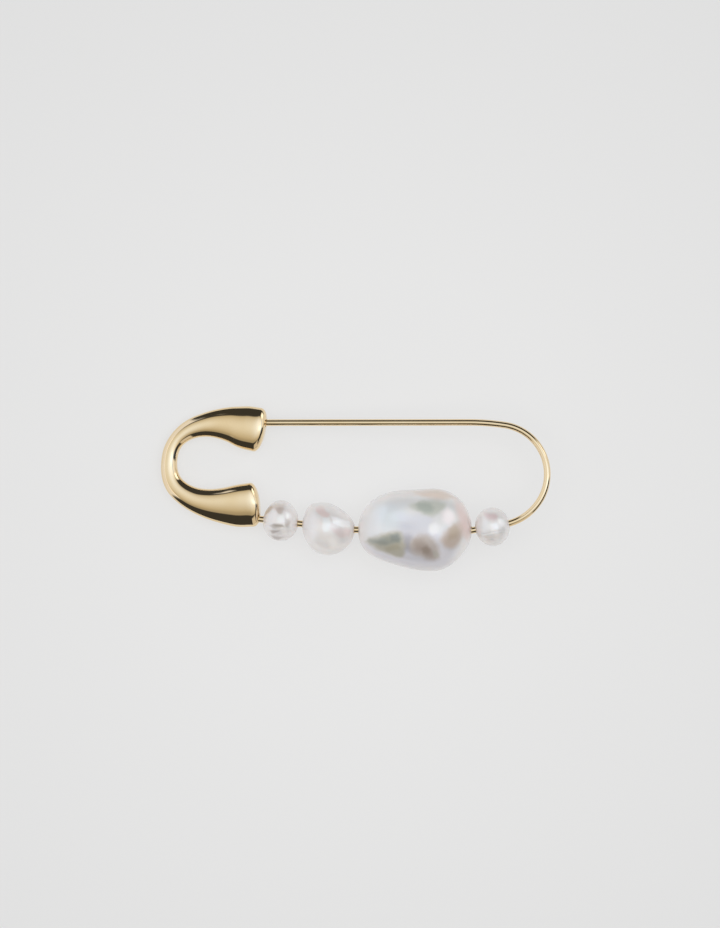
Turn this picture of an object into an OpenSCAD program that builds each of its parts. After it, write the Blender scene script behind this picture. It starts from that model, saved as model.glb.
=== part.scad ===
// Safety-pin brooch: a flared horseshoe clasp, one sprung wire that is both
// needle and pearl bar, and four drilled freshwater pearls threaded on it.
// It is modelled lying on a table, as it comes to rest by itself.
// X runs along the needle, Y across the brooch towards the needle, Z up.

/* [Wire] */
// Diameter of the spring wire
wire_d = 1.2; // [1.0:0.05:1.3]
// Straight length of the needle, from its tip to the first bend
needle_len = 40.8; // [40:0.1:41.4]
// Length of the tapered point of the needle
point_len = 3.2; // [2:0.1:4]
// Diameter of the blunted very end of the needle
point_d = 0.3; // [0.2:0.05:0.5]
// Radius of the round bow at the far end
bow_r = 8.9; // [8.7:0.05:9.1]

/* [Clasp] */
// Thickness of the clasp at its thin middle
clasp_waist_t = 2.9; // [2.6:0.1:3.1]
// Thickness of the clasp at its two flared ends
clasp_mouth_t = 4.4; // [4:0.1:4.8]
// How far the closed end faces bulge out
mouth_dome = 1.08; // [0.9:0.02:1.2]
// Depth of the two sockets, along the wire
socket_depth = 5.4; // [5:0.1:5.8]
// Gap all round the needle in the catch socket
catch_gap = 0.2; // [0.12:0.02:0.24]
// Gap all round the wire in the root socket
root_gap = 0.06; // [0.04:0.01:0.08]

/* [Pearls] */
// Gap between the wire and the drill hole of each pearl
drill_gap = 0.15; // [0.13:0.01:0.18]
// Length of the small pearl beside the clasp
button_len = 6.4; // [6.2:0.05:6.5]
// Length of the medium drop-shaped pearl
drop_len = 9.6; // [9.3:0.05:9.7]
// Length of the large baroque pearl
baroque_len = 20.5; // [20:0.05:20.6]
// Length of the small round pearl beside the bow
round_len = 6.3; // [6:0.05:6.4]

/* [Rest pose] */
// Slope of the needle, which rises from the clasp to the bow
rest_pitch = 5.33; // [0:0.05:12]
// Lean of the brooch about the needle's direction, lower on the needle side
rest_roll = -2.89; // [-12:0.05:12]
// Height of the wire's plane above the table at the brooch's middle
rest_lift = 4.92; // [0:0.01:12]

/* [Hidden] */

gold = "#d9b878";
pearl_white = "#e9e6e3";
pearl_silver = "#d5d6da";

// Facets round the needle and the drilled holes
wire_fn = 48;
// Points round the bent part of the wire, and the most that it turns between two rings
wire_round = 16;
bend_step = 6;
// The bent part starts this far inside the needle, and is this much thinner than it
bend_overlap = 0.8;
bend_thinner = 0.006;
bend_d = wire_d - bend_thinner;
// Extra length that cuts a hole clean through
overcut = 2;
// Room in each socket past the end of the wire
catch_room = 0.6;
root_room = 0.2;
// Where each pearl's middle is along its straight stretch of wire
button_at = 12.25;
drop_at = 3.5;
baroque_at = 9.55;
round_at = 2.2;
// Points round a pearl and rings along it
small_grid = [16, 13];
drop_grid = [24, 19];
baroque_grid = [40, 35];
// Puts the middle of the brooch's footprint over the origin
middle_shift = [0.36, 0.14];

// The wire, from the needle's tip round the bow and back through the pearls.
// Every bend turns the same way. Columns: straight length, bend radius, turn in degrees.
WIRE = [
    [needle_len - point_len, 0, 0],
    [0, 42, 8.8],
    [0, bow_r, 116],
    [0, bow_r + 0.5, 44.8],
    [6, 0, 0],
    [0, 3.4, 10.8],
    [20.1, 0, 0],
    [0, 15, 6],
    [21.8, 0, 0]
];
// Where the needle's tip is, in the wire's plane
needle_tip = [-20.5, 11.65];
// The straight stretches that hold the pearls and the root, as rows of WIRE
round_run = 4;
baroque_run = 6;
left_run = 8;

// A place on the wire is [x, y, heading]; this goes along one row of WIRE
function along(p, row) = row[1] == 0
    ? [p[0] + row[0] * cos(p[2]), p[1] + row[0] * sin(p[2]), p[2]]
    : [
        p[0] + row[1] * (sin(p[2]) - sin(p[2] - row[2])),
        p[1] - row[1] * (cos(p[2]) - cos(p[2] - row[2])),
        p[2] - row[2]
      ];
wire_start = [needle_tip[0] + point_len, needle_tip[1], 0];
// The place where each row of WIRE begins, and last of all where the wire ends
PLACES = [
    for (i = 0, p = wire_start; i <= len(WIRE); p = i < len(WIRE) ? along(p, WIRE[i]) : p, i = i + 1) p
];
wire_end = PLACES[len(WIRE)];
// Places for the rings of the bent part, which starts inside the end of the needle
BEND_PLACES = [
    along(PLACES[1], [-bend_overlap, 0, 0]),
    PLACES[1],
    for (i = [1 : len(WIRE) - 1])
        let (row = WIRE[i], steps = max(1, ceil(row[2] / bend_step)))
        for (k = [1 : steps]) along(PLACES[i], [row[0], row[1], row[2] * k / steps])
];

// The clasp from the catch end round to the root end, in the wire's plane.
// Columns: x, y, half width, share of the way from waist thickness to mouth thickness.
CLASP = [
    [-18.05, 10.55, 3.82, 1.00],
    [-20.4, 10.88, 3.90, 0.92],
    [-22.9, 11.22, 3.40, 0.74],
    [-25.4, 11.36, 2.80, 0.54],
    [-27.6, 11.22, 2.28, 0.35],
    [-29.6, 10.74, 1.93, 0.20],
    [-31.4, 9.78, 1.65, 0.08],
    [-32.9, 8.30, 1.46, 0.00],
    [-33.8, 6.42, 1.46, 0.00],
    [-34.1, 4.20, 1.50, 0.00],
    [-33.85, 2.15, 1.62, 0.03],
    [-33.0, 0.38, 1.80, 0.10],
    [-31.45, -1.08, 1.99, 0.20],
    [-29.4, -2.20, 2.28, 0.34],
    [-26.95, -2.92, 2.74, 0.52],
    [-24.4, -3.26, 3.28, 0.70],
    [-21.65, -3.32, 3.88, 0.90],
    [-18.95, -3.12, 4.06, 1.00]
];
// Steps between two rows of CLASP, points round a section, rings in each end dome
clasp_steps = 3;
clasp_round = 28;
dome_rings = 6;
// How quickly the end dome turns over at its rim: 1 is round, less is squarer
dome_rim = 0.72;

// Smooth curve through four neighbouring rows, at t from 0 to 1 between the middle two
function smooth(a, b, c, d, t) =
    0.5 * (2 * b + (c - a) * t + (2 * a - 5 * b + 4 * c - d) * t * t + (3 * b - a - 3 * c + d) * t * t * t);
// A row of a table, where the end rows are carried on in a straight line
function row_at(table, i) = i < 0
    ? 2 * table[0] - table[1]
    : i > len(table) - 1 ? 2 * table[len(table) - 1] - table[len(table) - 2] : table[i];
// The table's values at a place s that counts rows and may lie between two
function at(table, s) =
    let (i = min(floor(s), len(table) - 2))
    smooth(row_at(table, i - 1), row_at(table, i), row_at(table, i + 1), row_at(table, i + 2), s - i);

// One oval section of n points: middle, direction, half width and half thickness
function oval(c, dir, half_w, half_t, n) = [
    for (j = [0 : n - 1])
        let (a = 360 * j / n)
        [c[0] - dir[1] * half_w * cos(a), c[1] + dir[0] * half_w * cos(a), half_t * sin(a)]
];
function clasp_half_t(share) = (clasp_waist_t + (clasp_mouth_t - clasp_waist_t) * share) / 2;
function unit(v) = v / norm(v);
// Direction of travel along the clasp at a place s, from two places close to it
dir_step = 0.02;
function clasp_dir(s) =
    let (a = at(CLASP, s - dir_step), b = at(CLASP, s + dir_step))
    unit([b[0] - a[0], b[1] - a[1]]);
clasp_last = len(CLASP) - 1;
function clasp_section(s) =
    let (r = at(CLASP, s))
    oval(r, clasp_dir(s), r[2], clasp_half_t(r[3]), clasp_round);
// One ring of an end dome; angle 0 is the rim and 90 the crown, out is +1 or -1 along dir
function dome_section(s, out, angle) =
    let (r = at(CLASP, s), dir = clasp_dir(s), k = pow(cos(angle), dome_rim))
    oval(
        [r[0] + dir[0] * out * mouth_dome * sin(angle), r[1] + dir[1] * out * mouth_dome * sin(angle)],
        dir, r[2] * k, clasp_half_t(r[3]) * k, clasp_round
    );
function dome_crown(s, out) =
    let (r = at(CLASP, s), dir = clasp_dir(s))
    [r[0] + dir[0] * out * mouth_dome, r[1] + dir[1] * out * mouth_dome, 0];

// A closed skin over rings of n points with a crown point at each end
module skin(rings, first_crown, last_crown) {
    n = len(rings[0]);
    m = len(rings);
    points = concat([for (r = rings) for (p = r) p], [first_crown, last_crown]);
    sides = [
        for (i = [0 : m - 2]) for (j = [0 : n - 1])
            let (a = i * n + j, b = i * n + (j + 1) % n)
            each [[a, a + n, b], [b, a + n, b + n]]
    ];
    first_fan = [for (j = [0 : n - 1]) [m * n, j, (j + 1) % n]];
    last_fan = [for (j = [0 : n - 1]) [m * n + 1, (m - 1) * n + (j + 1) % n, (m - 1) * n + j]];
    polyhedron(points = points, faces = concat(sides, first_fan, last_fan));
}

// A straight drill or wire stretch from a place, along its heading
module from_place(p) {
    translate([p[0], p[1], 0]) rotate([0, 0, p[2]]) rotate([0, 90, 0]) children();
}

// A point on a straight row of WIRE, some way along it
function on_run(i, way) = along(PLACES[i], [way, 0, 0]);

// Pearl tables. Each row is a station, evenly spaced in angle from one drill hole to the other.
// Columns: reach towards the needle, away from it, up and down, as shares of half the length.
BUTTON = [
    [1.16, 1.16, 1.08, 1.05],
    [1.16, 1.13, 1.07, 1.05],
    [1.20, 1.10, 1.08, 1.06],
    [1.20, 1.10, 1.10, 1.08],
    [1.17, 1.11, 1.08, 1.07],
    [1.14, 1.14, 1.06, 1.05],
    [1.14, 1.16, 1.05, 1.05]
];
DROP = [
    [1.45, 0.74, 1.05, 1.00],
    [1.26, 0.92, 1.02, 0.98],
    [0.99, 1.04, 0.98, 0.96],
    [0.87, 1.05, 0.95, 0.93],
    [0.76, 1.05, 0.88, 0.88],
    [0.69, 1.07, 0.82, 0.84],
    [0.60, 1.10, 0.80, 0.82]
];
BAROQUE = [
    [0.87, 0.86, 0.74, 0.70],
    [0.80, 0.73, 0.68, 0.66],
    [0.75, 0.645, 0.64, 0.62],
    [0.71, 0.69, 0.61, 0.62],
    [0.82, 0.78, 0.68, 0.66],
    [0.90, 0.74, 0.70, 0.66],
    [0.90, 0.62, 0.70, 0.64]
];
ROUND = [
    [1.08, 1.10, 1.05, 1.03],
    [1.08, 1.10, 1.05, 1.04],
    [1.08, 1.10, 1.06, 1.05],
    [1.09, 1.10, 1.06, 1.05],
    [1.09, 1.09, 1.05, 1.04],
    [1.08, 1.08, 1.04, 1.03],
    [1.08, 1.08, 1.04, 1.03]
];
// Hollows and swellings of each pearl's skin.
// Columns: station angle, angle round the hole axis from the needle side, depth, spread in degrees.
BUTTON_DENTS = [[110, 250, -0.12, 26]];
DROP_DENTS = [[75, 60, -0.16, 26], [120, 110, -0.12, 24]];
BAROQUE_DENTS = [
    [82, 75, -0.55, 20],
    [72, 300, -0.50, 22],
    [118, 285, -0.45, 20],
    [48, 95, 0.25, 26],
    [116, 100, 0.35, 22]
];
ROUND_DENTS = [[70, 80, -0.08, 30]];

// Reach of a pearl between its four main sides, at an angle a round the hole axis
function reach(r, a) =
    let (side = cos(a) > 0 ? r[0] : r[1], face = sin(a) > 0 ? r[2] : r[3])
    1 / sqrt(pow(cos(a) / side, 2) + pow(sin(a) / face, 2));
function turn_between(a, b) = let (d = abs(a - b) % 360) min(d, 360 - d);
// Sum of all dents at a station angle u and an angle a round the hole axis
function dent_depth(dents, u, a) = [
    for (d = dents)
        let (far = pow((u - d[0]) / d[3], 2) + pow(turn_between(a, d[1]) / d[3], 2))
        d[2] * exp(-far)
] * [for (d = dents) 1];
function pearl_ring(table, dents, half, u, n) =
    let (r = at(table, u / 180 * (len(table) - 1)))
    [
        for (j = [0 : n - 1])
            let (a = 360 * j / n, k = half * reach(r, a) + dent_depth(dents, u, a))
            [-half * cos(u), k * sin(u) * cos(a), k * sin(u) * sin(a)]
    ];

// A pearl of the given length, drilled along X; grid is its points round and its rings
module pearl(table, dents, length, grid) {
    half = length / 2;
    difference() {
        skin(
            [for (i = [1 : grid[1]]) pearl_ring(table, dents, half, 180 * i / (grid[1] + 1), grid[0])],
            [-half, 0, 0], [half, 0, 0]
        );
        translate([-half - overcut, 0, 0]) rotate([0, 90, 0])
            cylinder(h = length + 2 * overcut, d = wire_d + 2 * drill_gap, $fn = wire_fn);
    }
}

// A pearl on a straight row of WIRE; its drawing runs from left to right, the wire from right to left
module threaded(run, way) {
    p = on_run(run, way);
    translate([p[0], p[1], 0]) rotate([0, 0, p[2] + 180]) children();
}

// The whole brooch as it lies on the table
module at_rest() {
    translate([middle_shift[0], middle_shift[1], rest_lift]) rotate([rest_roll, -rest_pitch, 0]) children();
}

module clasp() {
    catch_rings = [for (i = [dome_rings - 1 : -1 : 1]) dome_section(0, -1, 90 * i / dome_rings)];
    bow_rings = [for (i = [0 : clasp_last * clasp_steps]) clasp_section(i / clasp_steps)];
    root_rings = [for (i = [1 : dome_rings - 1]) dome_section(clasp_last, 1, 90 * i / dome_rings)];
    color(gold) at_rest() difference() {
        skin(concat(catch_rings, bow_rings, root_rings), dome_crown(0, -1), dome_crown(clasp_last, 1));
        from_place([needle_tip[0], needle_tip[1], 0])
            translate([0, 0, -catch_room])
                cylinder(h = socket_depth + overcut, d = wire_d + 2 * catch_gap, $fn = wire_fn);
        from_place([wire_end[0], wire_end[1], wire_end[2] + 180])
            translate([0, 0, -root_room])
                cylinder(h = socket_depth + overcut, d = wire_d + 2 * root_gap, $fn = wire_fn);
    }
}

module pin_wire() {
    color(gold) at_rest() {
        from_place([needle_tip[0], needle_tip[1], 0]) rotate_extrude($fn = wire_fn)
            polygon([[0, 0], [point_d / 2, 0], [wire_d / 2, point_len], [wire_d / 2, needle_len], [0, needle_len]]);
        skin(
            [for (p = BEND_PLACES) oval(p, [cos(p[2]), sin(p[2])], bend_d / 2, bend_d / 2, wire_round)],
            [BEND_PLACES[0][0], BEND_PLACES[0][1], 0], [wire_end[0], wire_end[1], 0]
        );
    }
}

module pearl_button() {
    color(pearl_white) at_rest()
        threaded(left_run, button_at) pearl(BUTTON, BUTTON_DENTS, button_len, small_grid);
}

module pearl_drop() {
    color(pearl_white) at_rest()
        threaded(left_run, drop_at) pearl(DROP, DROP_DENTS, drop_len, drop_grid);
}

module pearl_baroque() {
    color(pearl_silver) at_rest()
        threaded(baroque_run, baroque_at) pearl(BAROQUE, BAROQUE_DENTS, baroque_len, baroque_grid);
}

module pearl_round() {
    color(pearl_white) at_rest()
        threaded(round_run, round_at) pearl(ROUND, ROUND_DENTS, round_len, small_grid);
}

clasp();
pin_wire();
pearl_button();
pearl_drop();
pearl_baroque();
pearl_round();
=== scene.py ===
"""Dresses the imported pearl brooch: a polished gold safety pin with four freshwater pearls on a pale table.

The pieces are shaped in the wire's own flat plane, in millimetres, and then laid down as the brooch rests
by itself. The plane's X runs along the needle, its Y across the brooch towards the needle.
"""

import logging
import math
from collections.abc import Callable, Sequence
from dataclasses import dataclass
from enum import Enum

import bmesh
import bpy
from mathutils import Matrix, Vector


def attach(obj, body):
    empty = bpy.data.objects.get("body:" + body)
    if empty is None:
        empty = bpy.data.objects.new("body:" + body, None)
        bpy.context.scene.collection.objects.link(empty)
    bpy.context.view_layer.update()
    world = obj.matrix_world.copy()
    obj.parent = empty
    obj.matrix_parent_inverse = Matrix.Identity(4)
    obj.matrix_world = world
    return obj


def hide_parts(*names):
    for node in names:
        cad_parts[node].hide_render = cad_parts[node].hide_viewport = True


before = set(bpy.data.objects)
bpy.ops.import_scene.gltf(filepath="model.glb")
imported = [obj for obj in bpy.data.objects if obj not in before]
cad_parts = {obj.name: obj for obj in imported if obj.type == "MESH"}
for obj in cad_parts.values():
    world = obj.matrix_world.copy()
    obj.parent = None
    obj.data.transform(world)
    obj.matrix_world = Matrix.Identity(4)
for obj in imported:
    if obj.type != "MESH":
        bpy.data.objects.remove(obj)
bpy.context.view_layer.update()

LOG = logging.getLogger("pearl_brooch")
MM = 0.001
WIRE_D = 1.2
# Points of a mesh that are closer than this, in millimetres, are one
WELD = 1e-4
# Steps round the rolled edge of a drilled hole, in degrees
LIP_ANGLES = (30, 60, 90)
# Nearly all of a noise texture's values lie between these
NOISE_LOW = 0.3
NOISE_MIDDLE = 0.5
NOISE_HIGH = 0.7
# Lowest upward share of a direction that the panels overhead are worked out for
HORIZON = 0.02

Ring = Callable[[float], Vector]
Row = Sequence[float]


class Slot(Enum):
    """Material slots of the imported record."""

    CLASP = "plated_cast_clasp"
    WIRE = "plated_spring_wire"
    WHITE = "white_nacre"
    SILVER = "silver_nacre"


def linear(code: str) -> tuple[float, float, float, float]:
    """Turns an sRGB hex colour into linear light.

    Args:
        code: Six hex digits after a number sign.

    Returns:
        Red, green, blue and an alpha of 1.
    """
    parts = [int(code[i : i + 2], 16) / 255 for i in (1, 3, 5)]
    light = [c / 12.92 if c <= 0.04045 else ((c + 0.055) / 1.055) ** 2.4 for c in parts]
    return (light[0], light[1], light[2], 1.0)


def add(
    tree: bpy.types.NodeTree, kind: str, inputs: dict | None = None, **settings: object
) -> bpy.types.Node:
    """Adds one node with its settings and links.

    Args:
        tree: The node tree that gets it.
        kind: The node's type name.
        inputs: For each input socket, by name or number, its value or the output socket that feeds it.
        settings: Attributes of the node itself.

    Returns:
        The new node.
    """
    node = tree.nodes.new(kind)
    for name, value in settings.items():
        setattr(node, name, value)
    for socket, value in (inputs or {}).items():
        if isinstance(value, bpy.types.NodeSocket):
            tree.links.new(value, node.inputs[socket])
        else:
            node.inputs[socket].default_value = value
    return node


def new_material(name: str) -> tuple[bpy.types.Material, bpy.types.NodeTree]:
    """Makes an empty node material.

    Args:
        name: The material's name.

    Returns:
        The material and its cleared node tree.
    """
    material = bpy.data.materials.new(name)
    material.use_nodes = True
    material.node_tree.nodes.clear()
    return material, material.node_tree


def smooth_row(table: Sequence[Row], place: float) -> list[float]:
    """Reads a table between its rows, along a smooth curve through them.

    Args:
        table: The rows, all of one length.
        place: Which row, as a number that may lie between two rows or just past an end.

    Returns:
        One value for each column.
    """
    last = len(table) - 1
    start = min(math.floor(place), last - 1)
    t = place - start

    def row(i: int) -> list[float]:
        """Reads one row, and carries the table's ends on in a straight line.

        Args:
            i: The row's number, which may be past an end.

        Returns:
            The row's values.
        """
        if i < 0:
            return [2 * a - b for a, b in zip(table[0], table[1])]
        if i > last:
            return [2 * a - b for a, b in zip(table[last], table[last - 1])]
        return list(table[i])

    return [
        0.5 * (2 * b + (c - a) * t + (2 * a - 5 * b + 4 * c - d) * t * t + (3 * b - a - 3 * c + d) * t**3)
        for a, b, c, d in zip(row(start - 1), row(start), row(start + 1), row(start + 2))
    ]


@dataclass(frozen=True)
class Place:
    """A spot on the wire in its plane, in millimetres, and the way it heads there, in degrees."""

    x: float
    y: float
    heading: float

    def ahead(self) -> Vector:
        """Unit vector along the wire."""
        return Vector((math.cos(math.radians(self.heading)), math.sin(math.radians(self.heading)), 0))

    def point(self) -> Vector:
        """The spot itself."""
        return Vector((self.x, self.y, 0))

    def frame(self) -> Matrix:
        """Matrix whose X lies along the wire here, and whose Z is up."""
        return Matrix.Translation(self.point()) @ Matrix.Rotation(math.radians(self.heading), 4, "Z")


@dataclass(frozen=True)
class Stretch:
    """One stretch of the wire: straight over a length, or a clockwise bend by a turn in degrees."""

    length: float = 0.0
    radius: float = 0.0
    turn: float = 0.0

    def along(self, start: Place, share: float = 1.0) -> Place:
        """Goes along this stretch.

        Args:
            start: Where the stretch begins.
            share: How much of it is gone along, 1 for all.

        Returns:
            The place reached.
        """
        if self.radius == 0:
            spot = start.point() + start.ahead() * self.length * share
            return Place(spot.x, spot.y, start.heading)
        before = math.radians(start.heading)
        after = math.radians(start.heading - self.turn * share)
        return Place(
            start.x + self.radius * (math.sin(before) - math.sin(after)),
            start.y - self.radius * (math.cos(before) - math.cos(after)),
            start.heading - self.turn * share,
        )


@dataclass(frozen=True)
class WireRoute:
    """The whole wire, from the needle's tip round the bow and back through the pearls to the clasp."""

    tip: tuple[float, float] = (-20.5, 11.72)
    # Length of the needle's taper, after which the stretches follow
    point_length: float = 3.2
    stretches: tuple[Stretch, ...] = (
        Stretch(length=37.6),
        Stretch(radius=42, turn=8.8),
        Stretch(radius=8.945, turn=116),
        Stretch(radius=9.4, turn=44.8),
        Stretch(length=6),
        Stretch(radius=3.4, turn=10.8),
        Stretch(length=20.1),
        Stretch(radius=15, turn=6),
        Stretch(length=21.8),
    )

    def starts(self) -> list[Place]:
        """Follows the wire.

        Returns:
            The place where each stretch begins, and last of all where the wire ends.
        """
        places = [Place(self.tip[0] + self.point_length, self.tip[1], 0)]
        for stretch in self.stretches:
            places.append(stretch.along(places[-1]))
        return places

    def on_stretch(self, number: int, way: float) -> Place:
        """A spot some way along a straight stretch.

        Args:
            number: Which stretch.
            way: Distance from its beginning.

        Returns:
            The place there.
        """
        return Stretch(length=way).along(self.starts()[number])

    def end(self) -> Place:
        """Where the wire ends, inside the clasp."""
        return self.starts()[-1]


@dataclass(frozen=True)
class RestPose:
    """How the brooch lies on the table by itself, in degrees and millimetres."""

    pitch: float = 5.33
    roll: float = -2.89
    lift: float = 4.92
    shift: tuple[float, float] = (0.36, 0.14)

    def matrix(self) -> Matrix:
        """Works out how the brooch is laid down.

        Returns:
            The matrix from the wire's plane, in millimetres, to the row frame, in metres.
        """
        pitch = Matrix.Rotation(math.radians(-self.pitch), 4, "Y")
        roll = Matrix.Rotation(math.radians(self.roll), 4, "X")
        return Matrix.Scale(MM, 4) @ Matrix.Translation((*self.shift, self.lift)) @ (pitch @ roll)


ROUTE = WireRoute()
REST = RestPose()


def blank_tube(sides: int, rings: int, capped: bool) -> bmesh.types.BMesh:
    """Makes the straight blank that each piece is formed from.

    Args:
        sides: Points round the tube.
        rings: Rings along it, which lie at whole numbers of Z from 0.
        capped: Whether both ends are closed.

    Returns:
        A tube of radius 1.
    """
    bm = bmesh.new()
    span = rings - 1
    centre = Matrix.Translation((0, 0, span / 2))
    bmesh.ops.create_cone(
        bm, cap_ends=capped, segments=sides, radius1=1, radius2=1, depth=span, matrix=centre
    )
    lengthwise = [e for e in bm.edges if abs(e.verts[0].co.z - e.verts[1].co.z) > span / 2]
    bmesh.ops.subdivide_edges(bm, edges=lengthwise, cuts=span - 1, use_grid_fill=True)
    return bm


def form(rings: Sequence[Ring], sides: int, capped: bool) -> bmesh.types.BMesh:
    """Forms a blank tube so that each of its rings takes a given shape.

    Args:
        rings: For each ring a function from the angle round it to a point.
        sides: Points round each ring.
        capped: Whether the ends are closed. If not, the last ring meets the first, and they are joined.

    Returns:
        The formed mesh, in the wire's plane and in millimetres.
    """
    bm = blank_tube(sides, len(rings), capped)
    for vert in bm.verts:
        vert.co = rings[round(vert.co.z)](math.atan2(vert.co.y, vert.co.x))
    bmesh.ops.remove_doubles(bm, verts=bm.verts, dist=WELD)
    bmesh.ops.recalc_face_normals(bm, faces=bm.faces)
    return bm


def lay_down(
    bm: bmesh.types.BMesh, name: str, node: str, material: bpy.types.Material
) -> bpy.types.Object:
    """Lays a formed piece down in the frame, in place of its CAD node.

    Args:
        bm: The mesh, in the wire's plane and in millimetres. It is freed.
        name: The piece's name.
        node: The CAD node that it stands for.
        material: Its finish.

    Returns:
        The new object.
    """
    bmesh.ops.transform(bm, matrix=REST.matrix(), verts=bm.verts)
    mesh = bpy.data.meshes.new(name)
    bm.to_mesh(mesh)
    bm.free()
    mesh.shade_smooth()
    mesh.materials.append(material)
    piece = bpy.data.objects.new(name, mesh)
    bpy.context.scene.collection.objects.link(piece)
    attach(piece, "root")
    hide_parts(node)
    return piece


def oval(centre: Vector, side: Vector, half_width: float, half_thickness: float) -> Ring:
    """An upright oval ring.

    Args:
        centre: Its middle.
        side: Unit vector across it, in the wire's plane.
        half_width: Half its size along side.
        half_thickness: Half its size upwards.

    Returns:
        The ring.
    """
    up = Vector((0, 0, 1))
    return lambda a: centre + side * half_width * math.cos(a) + up * half_thickness * math.sin(a)


def rolled_edge(hole: float, rim: float) -> list[tuple[float, float]]:
    """Radius and depth of each ring round the rolled edge of a drilled hole, from the outside in."""
    angles = [math.radians(degrees) for degrees in LIP_ANGLES]
    return [(hole + rim * (1 - math.sin(a)), rim * (1 - math.cos(a))) for a in angles]


@dataclass(frozen=True)
class GoldPlate:
    """Pale gold electroplate over a polished base.

    It is a near mirror, so the eye gets the studio's soft panels and dark gaps as long clean bands, and the
    base's polishing leaves them only a slight waver.
    """

    name: str
    colour: str = "#f7e3bf"
    deep_colour: str = "#efd3a2"
    # How far apart the paler and the deeper tone drift
    tone_mm: float = 6.0
    roughness: float = 0.05
    # Fine polishing haze, and how much of the roughness it leaves and adds
    haze_mm: float = 0.12
    haze_range: tuple[float, float] = (0.7, 1.4)
    # The waver that polishing leaves
    ripple_mm: float = 1.6
    ripple_depth_mm: float = 0.0006

    def material(self) -> bpy.types.Material:
        """Builds the node material.

        Returns:
            The material.
        """
        material, tree = new_material(self.name)
        place = add(tree, "ShaderNodeTexCoord").outputs["Object"]
        tone = add(
            tree, "ShaderNodeTexNoise", {"Vector": place, "Scale": 1 / (self.tone_mm * MM), "Detail": 2.0}
        ).outputs["Fac"]
        colour = add(
            tree,
            "ShaderNodeMix",
            {"Factor": tone, 6: linear(self.colour), 7: linear(self.deep_colour)},
            data_type="RGBA",
        ).outputs[2]
        haze = add(
            tree, "ShaderNodeTexNoise", {"Vector": place, "Scale": 1 / (self.haze_mm * MM), "Detail": 3.0}
        ).outputs["Fac"]
        roughness = add(
            tree,
            "ShaderNodeMapRange",
            {
                "Value": haze,
                "From Min": NOISE_LOW,
                "From Max": NOISE_HIGH,
                "To Min": self.roughness * self.haze_range[0],
                "To Max": self.roughness * self.haze_range[1],
            },
        ).outputs["Result"]
        ripple = add(
            tree, "ShaderNodeTexNoise", {"Vector": place, "Scale": 1 / (self.ripple_mm * MM), "Detail": 1.0}
        ).outputs["Fac"]
        bump = add(
            tree,
            "ShaderNodeBump",
            {"Height": ripple, "Distance": self.ripple_depth_mm * MM, "Strength": 1.0},
        ).outputs["Normal"]
        shader = add(
            tree,
            "ShaderNodeBsdfPrincipled",
            {"Base Color": colour, "Metallic": 1.0, "Roughness": roughness, "Normal": bump},
        )
        add(tree, "ShaderNodeOutputMaterial", {"Surface": shader.outputs["BSDF"]})
        return material


@dataclass(frozen=True)
class PaintedPatch:
    """A patch painted into the nacre's colour, outlined from above in the row frame's millimetres.

    Most of them are painted reflections of the studio and the clasp, painted highlights and painted shade.
    """

    colour: str
    strength: float
    # How far to each side of its outline the patch fades
    softness: float
    corners: tuple[tuple[float, float], ...]

    def mask(self, tree: bpy.types.NodeTree, place: bpy.types.NodeSocket) -> bpy.types.NodeSocket:
        """Adds the nodes that say how much of the patch there is at a position.

        Args:
            tree: The node tree.
            place: The position.

        Returns:
            The share of the patch, from 0 to its strength.
        """
        middle = sum((Vector(corner) for corner in self.corners), Vector((0, 0))) / len(self.corners)
        soft = self.softness * MM
        outside = None
        for here, there in zip(self.corners, (*self.corners[1:], self.corners[0])):
            edge = Vector(there) - Vector(here)
            normal = Vector((edge.y, -edge.x)).normalized()
            if normal.dot(middle - Vector(here)) > 0:
                normal = -normal
            along = add(
                tree, "ShaderNodeVectorMath", {0: place, 1: (*normal, 0.0)}, operation="DOT_PRODUCT"
            ).outputs["Value"]
            reach = normal.dot(Vector(here)) * MM
            away = add(tree, "ShaderNodeMath", {0: along, 1: reach}, operation="SUBTRACT").outputs[0]
            if outside is None:
                outside = away
            else:
                outside = add(
                    tree, "ShaderNodeMath", {0: outside, 1: away, 2: soft}, operation="SMOOTH_MAX"
                ).outputs[0]
        return add(
            tree,
            "ShaderNodeMapRange",
            {"Value": outside, "From Min": soft, "From Max": -soft, "To Min": 0.0, "To Max": self.strength},
            interpolation_type="SMOOTHSTEP",
        ).outputs["Result"]


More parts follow.
